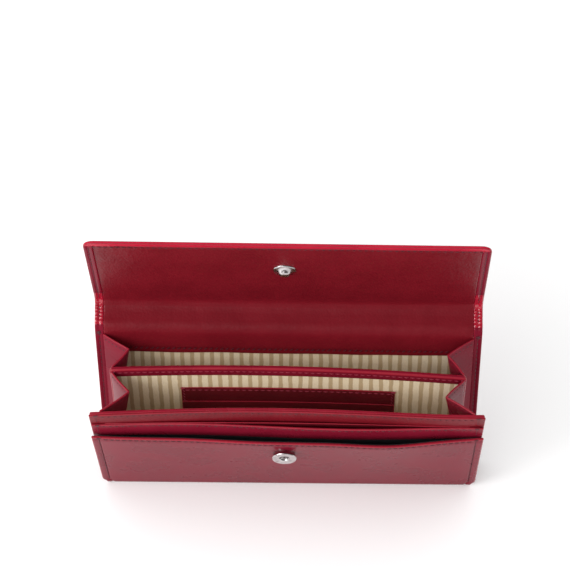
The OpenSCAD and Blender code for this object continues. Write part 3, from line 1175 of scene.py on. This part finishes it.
@dataclass
class Divider(SubAssembly):
    """The middle divider: striped linings, a folded leather top and the card slots."""

    top: float = 85.9 * MM
    facing: float = 6.0 * MM
    foot: float = -1.0 * MM
    card_wide: float = 104.6
    card_tops: tuple[float, ...] = mm(70.2, 59.4, 47.0, 34.6)

    def _shape(self, x: float, y: float, z: float) -> Vector:
        """Bows the divider with its neighbours."""
        return Vector((x, y + self.layout.bow_divider(x, z), z))

    def _add(self, obj: Piece, finish: Finish, slot: str, *nodes: str) -> Piece:
        """Hangs a piece on the divider."""
        return self.hang(obj, self.layout.divider.point, self._shape, finish, slot, "divider", *nodes)

    def build(self) -> list[Piece]:
        """Builds every piece of the divider."""
        bench, foot, top = self.bench, self.foot, self.top
        board = bench.blank("divider_stiffener", Cut.sharp(168 * MM, foot, top - 1.5 * MM, *mm(-0.5, 1.0)))
        made = [self._add(board, Finish.BOARD, "board", "divider_board")]
        fold = top - self.facing
        for side, face in (("rear", 0.55 * MM), ("front", -0.85 * MM)):
            cut = Cut.sharp(171 * MM, foot, fold + 1 * MM, face, 0.3 * MM)
            lining = bench.blank(f"divider_{side}_striped_lining", cut)
            self._add(lining, Finish.STRIPES, "striped_lining", f"divider_lining_{side}")
            cut.high - foot
            made.append(lining)
        facing = bench.blank("divider_top_leather", Cut(
            172 * MM, fold, top, -1.25 * MM, 2.5 * MM, edge_round=0.9 * MM, columns=30, rows=3
        ))
        made.append(self._add(facing, Finish.COVER, "edge_leather", "divider_facing"))
        for s, side in ((-1, "left"), (1, "right")):
            strip = bench.blank(f"divider_side_leather_{side}", Cut(
                2.4 * MM, foot, top - 0.4 * MM, -1.3 * MM, 2.6 * MM, edge_round=1.0 * MM, columns=2, rows=20
            ))
            for vertex in strip.data.vertices:
                vertex.co.x += s * 85.2 * MM
            made.append(self._add(strip, Finish.COVER, "outer_leather"))
        names = ("card_panel", "card_slot_upper", "card_slot_middle", "card_slot_lower")
        for k, (high, node) in enumerate(zip(self.card_tops, names)):
            slot = bench.blank(node + "_leather", Cut(
                (self.card_wide - 0.4 * k) * MM, 4.0 * MM, high, -(0.95 + 0.6 * (k + 1)) * MM, 0.55 * MM,
                low_round=1 * MM, edge_round=0.25 * MM, columns=12, rows=8,
            ))
            made.append(self._add(slot, Finish.CARD, "inner_leather", node))
        rows = [
            bench.stitches("s", (-x, z), (x, z), face, thick=0.3 * MM)
            for x, z, face in ((83 * MM, top - 2.3 * MM, -1.35 * MM), mm(50.8, 68.4, -1.65))
        ]
        rows += [
            bench.stitches("s", (x, 5 * MM), (x, 69 * MM), -1.75 * MM, 2.4 * MM, 0.5) for x in mm(-51.0, 51.0)
        ]
        rows += [
            bench.knot((s * x, z), face)
            for x, z, face in (mm(51.6, 70.0, -1.7), (84.9 * MM, top - 1.6 * MM, -1.45 * MM)) for s in (-1, 1)
        ]
        made.append(self._add(bench.join("divider_threads", rows), Finish.ROSE, "thread", "divider_seams"))
        return made


@dataclass
class FrontSection(SubAssembly):
    """The leaning front section behind the front panel: pockets and tall wall."""

    foot: float = -1.0 * MM
    seam_x: float = 91.7 * MM
    drawn_in: float = 0.4 * MM

    def _add(self, obj: Piece, bow: Bow | None, finish: Finish, slot: str,
             *nodes: str) -> Piece:
        """Hangs a piece on the front section."""
        def shape(x: float, y: float, z: float) -> Vector:
            drawn = self.layout.tuck(z) + self.drawn_in
            return Vector((x * (1 - drawn / self.layout.half), y + (bow(x, z) if bow else 0.0), z))

        place = self.layout.section.point
        return self.hang(obj, place, shape, finish, slot, "front_section", *nodes)

    def _cloth(self, name: str, cut: Cut, bow: Bow, finish: Finish, support: str,
               *nodes: str) -> Piece:
        """Hangs a lining on the front section."""
        slot = "striped_lining" if finish is Finish.STRIPES else "black_lining"
        obj = self._add(self.bench.blank(name, cut), bow, finish, slot, *nodes)
        cut.high - cut.low
        return obj

    def _out(self, x: float, z: float) -> float:
        """How far the front panel bows, as a step to the back."""
        return -self.layout.bow_front(x, z)

    def build(self) -> list[Piece]:
        """Builds every piece of the front section."""
        bench, layout, foot, leather = self.bench, self.layout, self.foot, "outer_leather"
        tall_bow, pocket_bow = layout.bow_wall, layout.bow_pocket
        front_board = bench.blank("front_stiffener", Cut.sharp(*mm(180, 2, 64.8, -0.64, 0.2)))
        wall_board = bench.blank("wall_stiffener", Cut.sharp(*mm(178, 2, 83.6, 2.0, 0.6), 40))
        made = [
            layout.flatten(self._add(front_board, self._out, Finish.BOARD, "board", "front_board")),
            self._add(wall_board, tall_bow, Finish.BOARD, "board", "wall_board"),
            layout.flatten(self._cloth(
                "pocket_black_lining", Cut.sharp(184 * MM, foot, *mm(65.6, -0.42, 0.3)), self._out,
                Finish.BLACK, "front_board", "pocket_lining",
            )),
            self._cloth(
                "pocket_rear_black_lining", Cut.sharp(184 * MM, foot, *mm(63.5, -0.02, 0.3)), pocket_bow,
                Finish.BLACK, "pocket_wall_leather",
            ),
        ]
        wall = bench.blank("pocket_wall_leather", Cut(
            *mm(189.6, 62.2, 76.4, -0.2, 0.95), edge_round=0.42 * MM, columns=40, rows=4,
            extra_z=mm(74.0, 74.7, 75.4),
        ))
        made.append(self._add(wall, pocket_bow, Finish.COVER, leather, "pocket_wall"))
        slip = bench.blank("slip_panel_leather", Cut(
            176 * MM, foot, *mm(76.9, 0.62, 0.5), edge_round=0.22 * MM, columns=30, rows=8
        ))
        made.append(self._add(
            slip, lambda x, z: 0.5 * tall_bow(x, z), Finish.CARD, "inner_leather", "slip_panel"
        ))
        tall = bench.blank("wall_facing_leather", Cut(
            190 * MM, foot, *mm(87.1, 0.95, 0.95), edge_round=0.42 * MM, columns=40, rows=10,
            extra_z=mm(86.0, 86.8, 87.6),
        ))
        # The wall facing is outer leather but takes the darker inner finish: painted shade over the whole
        # facing.
        made.append(self._add(tall, tall_bow, Finish.INNER, leather, "wall_facing"))
        turned = bench.blank("wall_turned_edge", Cut(
            *mm(189.4, 83.2, 87.0, 1.5, 1.9), edge_round=0.8 * MM, columns=40, rows=3
        ))
        made.append(self._add(turned, tall_bow, Finish.COVER, leather))
        made.append(self._cloth(
            "wall_striped_lining", Cut.sharp(180 * MM, foot, *mm(84.0, 2.72, 0.3), 40), tall_bow,
            Finish.STRIPES, "wall_board", "wall_lining",
        ))
        return made + self._threads()

    def _threads(self) -> list[Piece]:
        """The front section's seams, the front panel's own and the two walls'."""
        bench = self.bench
        seams = (
            (self._out, mm(-2.2, 64.9), mm(-1.95, 3.4, 66)),
            (self.layout.bow_pocket, mm(-0.25, 74.7), mm(-0.22, 68, 76)),
            (self.layout.bow_wall, mm(0.9, 85.0), mm(0.93, 79, 86.6)),
        )
        rows = []
        for bow, (face, z), (side_face, low, high) in seams:
            parts = [bench.stitches("s", (-90 * MM, z), (90 * MM, z), face)]
            for x in (-self.seam_x, self.seam_x):
                parts.append(bench.join("s", [
                    bench.stitches("s", (x, low), (x, high), side_face, 1.9 * MM, 0.5),
                    bench.knot((x, high + 0.2 * MM), side_face - 0.1 * MM),
                ]))
            for vertex in (vertex for part in parts for vertex in part.data.vertices):
                vertex.co.y += bow(vertex.co.x, vertex.co.z)
            rows.append(parts)
        front = bench.join("front_threads", rows[0])
        walls = bench.join("section_threads", rows[1] + rows[2])
        self.layout.flatten(self._add(front, None, Finish.THREAD, "thread"))
        return [front, self._add(walls, None, Finish.THREAD, "thread", "section_seams")]


@dataclass(frozen=True)
class LeafPlan:
    """One gusset leaf: its node, its seam on a wall, the fold it runs to and its curl there."""

    node: str
    seam: Line
    fold: Line
    curl: float


@dataclass
class Gussets(SubAssembly):
    """The folded gussets that join the back, the divider and the front section at each side."""

    low: float = 6.0 * MM
    wide: float = 16.0 * MM
    tall: float = 80.0 * MM
    seam_z: float = 77.4 * MM
    thread_face: float = -0.5 * MM

    def _leaf(self, plan: LeafPlan) -> list[Piece]:
        """Builds one leaf between its seam and its fold, with its stitches."""
        wide, tall = self.wide, self.tall
        obj = self.bench.blank(plan.node + "_leaf", Cut(
            wide, 0.0, tall, -0.45 * MM, 0.9 * MM, edge_round=0.38 * MM, columns=8, rows=12,
            extra_x=mm(6.4, 7.0, 7.5),
        ))

        def place(x: float, y: float, z: float) -> Vector:
            share, up = x / wide + 0.5, z / tall
            a, b = plan.seam(up), plan.fold(up)
            rise = (plan.seam(1.0) - plan.seam(0.0)).normalized()
            normal = (b - a).normalized().cross(rise).normalized()
            curl = Vector((0, plan.curl, 0)) * max(0.0, (share - 0.8) / 0.2) ** 2
            belly = normal * 0.5 * MM * math.sin(math.pi * clamp(share))
            return a + (b - a) * share + normal * y + curl + belly * 0.6

        self.hang(obj, place, None, Finish.COVER, "inner_leather", plan.node, plan.node)
        rows = []
        for outward in (-1, 1):
            row = self.bench.stitches(
                "s", (-wide / 2 + 0.6 * MM, self.seam_z), (wide / 2 - 1.5 * MM, self.seam_z),
                self.thread_face, 2.3 * MM,
            )
            for vertex in row.data.vertices:
                vertex.co.y *= -outward
            rows.append(row)
        seam = self.bench.join(plan.node + "_leaf_thread", rows)
        return [obj, self.hang(seam, place, None, Finish.THREAD, "thread", plan.node)]

    def _back_line(self, s: int) -> Line:
        """The seam line up the back at one side."""
        def line(up: float) -> Vector:
            z = self.low + (89.8 * MM - self.low) * up
            return self.layout.inner(s * 90.7 * MM, -0.35 * MM, self.layout.back_u(z))

        return line

    def _wall_line(self, wall: Wall, x: float, y: float, high: float, bow: Bow) -> Line:
        """A seam line up a wall, as a share from its foot to its top."""
        def line(up: float) -> Vector:
            z = self.low + (high - self.low) * up
            return wall.point(x, y + bow(x, z), z)

        return line

    @staticmethod
    def _fold_line(s: int, a: Line, b: Line, foot_x: float, draw: float, lift: float) -> Line:
        """The fold between two seam lines, drawn in towards its top.

        Args:
            s: -1 for the left and 1 for the right.
            a: one seam line.
            b: the other seam line.
            foot_x: how far out the fold starts, in millimetres.
            draw: how far in it comes by its top, in millimetres.
            lift: how far it rises by its top.

        Returns:
            The fold's line.
        """
        def line(up: float) -> Vector:
            middle = (a(up) + b(up)) / 2
            return Vector((s * ((foot_x - draw * up) * MM), middle.y, middle.z + lift * up))

        return line

    def build(self) -> list[Piece]:
        """Builds the eight leaves."""
        layout = self.layout
        made = []
        for side, s in (("left", -1), ("right", 1)):
            back = self._back_line(s)
            rear, fore = (
                self._wall_line(layout.divider, s * 85.3 * MM, y, 85.2 * MM, layout.bow_divider)
                for y in mm(1.5, -1.5)
            )
            wall = self._wall_line(layout.section, s * 89.5 * MM, 3.4 * MM, 87.0 * MM, layout.bow_wall)
            rear_fold = self._fold_line(s, back, rear, 90.0, 12.5, 1.2 * MM)
            fore_fold = self._fold_line(s, fore, wall, 88.0, 12.0, 0.0)
            for plan in (
                LeafPlan(f"rear_gusset_{side}_outer", back, rear_fold, -0.45 * MM),
                LeafPlan(f"rear_gusset_{side}_inner", rear, rear_fold, 0.45 * MM),
                LeafPlan(f"front_gusset_{side}_inner", fore, fore_fold, -0.45 * MM),
                LeafPlan(f"front_gusset_{side}_outer", wall, fore_fold, 0.45 * MM),
            ):
                made += self._leaf(plan)
        return made


@dataclass
class Snap(SubAssembly):
    """The round snap: a collared socket on the front and a domed stud under the flap."""

    socket_z: float = 51.5 * MM
    stud_reach: float = 41.9 * MM
    ring_sides: int = 48
    tip: float = math.radians(5.0)
    marks: float = 0.10 * MM

    def _turned(self, name: str, profile: Sequence[tuple[float, float]], sides: int) -> Piece:
        """Turns a piece round its own y axis from its outer rim inwards.

        Args:
            name: the piece's name.
            profile: (radius, height) in millimetres of each ring in turn.
            sides: how many sides the rings have.

        Returns:
            The turned piece, standing out towards the front.
        """
        self.bench.clear()
        radius, height = profile[0]
        bpy.ops.mesh.primitive_circle_add(
            vertices=sides, radius=radius * MM, fill_type="NGON", location=(0, -height * MM, 0),
            rotation=(math.pi / 2, 0, 0),
        )
        obj = bpy.context.object
        obj.name = name
        bpy.ops.object.transform_apply(location=True, rotation=True, scale=True)
        Bench.edit()
        for r, h in profile[1:]:
            bpy.ops.mesh.extrude_region_move(TRANSFORM_OT_translate={"value": (0, (height - h) * MM, 0)})
            bpy.ops.transform.resize(value=(r / radius, 1, r / radius), center_override=(0, -h * MM, 0))
            radius, height = r, h
        Bench.done()
        return obj

    def socket(self) -> Piece:
        """The socket, its collar and its ring pressed with fine radial marks."""
        rings = [(5.45, -0.8), (5.4, 1.2), (5.45, 2.5), (5.8, 2.8), (6.0, 3.1), (5.85, 3.4), (5.4, 3.5),
                 (3.4, 3.36), (2.7, 3.3), (2.4, 3.0), (2.3, 0.9), (0.4, 0.8)]
        obj = self._turned("socket_metal", rings, self.ring_sides)
        for vertex in obj.data.vertices:
            v = vertex.co
            if -v.y > 3.25 * MM and 3.0 * MM < math.hypot(v.x, v.z) < 5.4 * MM:
                turn = round(math.atan2(v.z, v.x) / TURN * self.ring_sides)
                vertex.co.y += self.marks * (turn % 2)
        x, z = self.layout.snap_x, self.socket_z
        face = self.layout.front_face
        bulge = self.layout.bow_front(x, z)
        c, s = math.cos(self.tip), math.sin(self.tip)

        def shape(a: float, b: float, up: float) -> Vector:
            return Vector((a + x, b * c + up * s - face - bulge + 0.1 * MM, up * c - b * s + z))

        place = self.layout.section.point
        return self.hang(
            obj, place, shape, Finish.METAL, "snap_metal", "front_section", "snap_socket", "socket_plate"
        )

    def stud(self) -> Piece:
        """The stud, a wide skirt rising to a rounded button."""
        rings = [(5.5, -0.3), (5.55, 0.15), (5.3, 0.6), (4.9, 0.7), (4.3, 0.85), (3.6, 1.3), (2.9, 2.0),
                 (2.6, 2.5), (2.3, 2.85), (1.6, 3.1), (0.2, 3.2)]
        obj = self._turned("stud_metal", rings, 32)
        x, u = self.layout.snap_x, self.layout.run.starts[4] + self.stud_reach

        def shape(a: float, b: float, c: float) -> Vector:
            return Vector((a + x, b - 0.12 * MM, c + u))

        place = self.layout.inner
        return self.hang(obj, place, shape, Finish.METAL, "snap_metal", "flap", "snap_stud", "stud_plate")

    def build(self) -> list[Piece]:
        """Builds both halves of the snap."""
        return [self.socket(), self.stud()]


class KeptParts:
    """The part's own pieces that stay as they are and only get a finish."""

    finishes: dict[str, Finish] = {"back_board": Finish.BOARD}

    def dress(self, paints: Paints) -> None:
        """Gives each kept piece its finish."""
        for node, finish in self.finishes.items():
            mesh = frame["nodes"][node].data
            mesh.materials.clear()
            mesh.materials.append(paints.of(finish))


@dataclass(frozen=True)
class Studio:
    """The pale floor, the soft lights and the camera."""

    surround: float = 0.98
    backdrop: float = 1.1
    mirror_loss: float = 0.82
    stand: tuple[float, float, float] = (0.0165, -0.7392, 0.9001)
    elevation: float = math.radians(45.9)
    turn: float = math.radians(1.37)
    roll: float = math.radians(-0.52)
    lens: float = 142.4

    def floor(self) -> None:
        """Lays the pale floor."""
        Bench.clear()
        bpy.ops.mesh.primitive_plane_add(size=6, location=(0, 0, 0))
        floor = bpy.context.object
        floor.name = "floor"
        recipe = Recipe("pale_floor")
        cloud = recipe.mottle(3.0, 2.0, recipe.place())
        floor.data.materials.append(recipe.finish({
            "Base Color": recipe.blend(cloud, rgba((0.90, 0.90, 0.90)), rgba((0.93, 0.93, 0.93))),
            "Roughness": 0.6, "Specular IOR Level": 0.1,
            "Emission Color": (1.0, 1.0, 1.0, 1.0), "Emission Strength": 0.06,
        }))

    def _area(self, name: str, place: Vector, aim: Vector, size: float, power: float) -> None:
        """Hangs one soft square light."""
        Bench.clear()
        bpy.ops.object.light_add(type="AREA", location=place)
        light = bpy.context.object
        light.name = name
        light.data.energy = power
        light.data.size = size
        light.rotation_euler = (aim - place).to_track_quat("-Z", "Y").to_euler()

    def lights(self) -> None:
        """Hangs the lights and sets the even white surround."""
        target = Vector((0, 0, 0.06))
        for name, place, size, power in (
            ("key_light", (-1.05, -0.72, 0.78), 0.8, 13.0), ("front_light", (-0.5, -1.4, 0.95), 0.7, 4.3)
        ):
            self._area(name, Vector(place), target, size, power)
        world = bpy.data.worlds.new("surround")
        world.use_nodes = True
        tree = world.node_tree
        sky = tree.nodes["Background"]
        sky.inputs[0].default_value = (1.0, 1.0, 1.0, 1.0)
        path = tree.nodes.new("ShaderNodeLightPath")
        seen = tree.nodes.new("ShaderNodeMapRange")
        seen.inputs["To Min"].default_value = self.surround
        seen.inputs["To Max"].default_value = self.backdrop
        mirrored = tree.nodes.new("ShaderNodeMath")
        mirrored.operation = "MULTIPLY_ADD"
        mirrored.inputs[1].default_value = -self.mirror_loss
        tree.links.new(path.outputs["Is Camera Ray"], seen.inputs["Value"])
        tree.links.new(path.outputs["Is Glossy Ray"], mirrored.inputs[0])
        tree.links.new(seen.outputs[0], mirrored.inputs[2])
        tree.links.new(mirrored.outputs[0], sky.inputs[1])
        bpy.context.scene.world = world
        bpy.context.scene.view_settings.view_transform = "Standard"

    def camera(self) -> None:
        """Stands the camera in front of and above the wallet."""
        data = bpy.data.cameras.new("camera")
        data.sensor_width = 36.0
        data.lens = self.lens
        data.clip_start, data.clip_end = 0.05, 20.0
        camera = bpy.data.objects.new("camera", data)
        bpy.context.scene.collection.objects.link(camera)
        aim = Matrix.Rotation(self.turn, 4, "Z") @ Matrix.Rotation(math.pi / 2 - self.elevation, 4, "X")
        camera.matrix_world = Matrix.Translation(self.stand) @ aim @ Matrix.Rotation(self.roll, 4, "Z")
        bpy.context.scene.camera = camera


def report(title: str, pieces: Iterable[Piece]) -> None:
    """Logs each piece of a sub-assembly with its face count."""
    for piece in pieces:
        LOG.info("%s: %s, %d faces", title, piece.name, len(piece.data.polygons))


def main() -> None:
    """Builds the wallet's looks in order, then the studio."""
    logging.basicConfig(level=logging.INFO, format="%(message)s")
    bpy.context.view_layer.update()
    paints = Paints()
    bench = Bench(paints)
    layout = Layout()
    report("cover", Cover(bench, layout).build())
    report("divider", Divider(bench, layout).build())
    report("front section", FrontSection(bench, layout).build())
    report("gussets", Gussets(bench, layout).build())
    report("snap", Snap(bench, layout).build())
    KeptParts().dress(paints)
    studio = Studio()
    studio.floor()
    studio.lights()
    studio.camera()


if __name__ == "__main__":
    main()
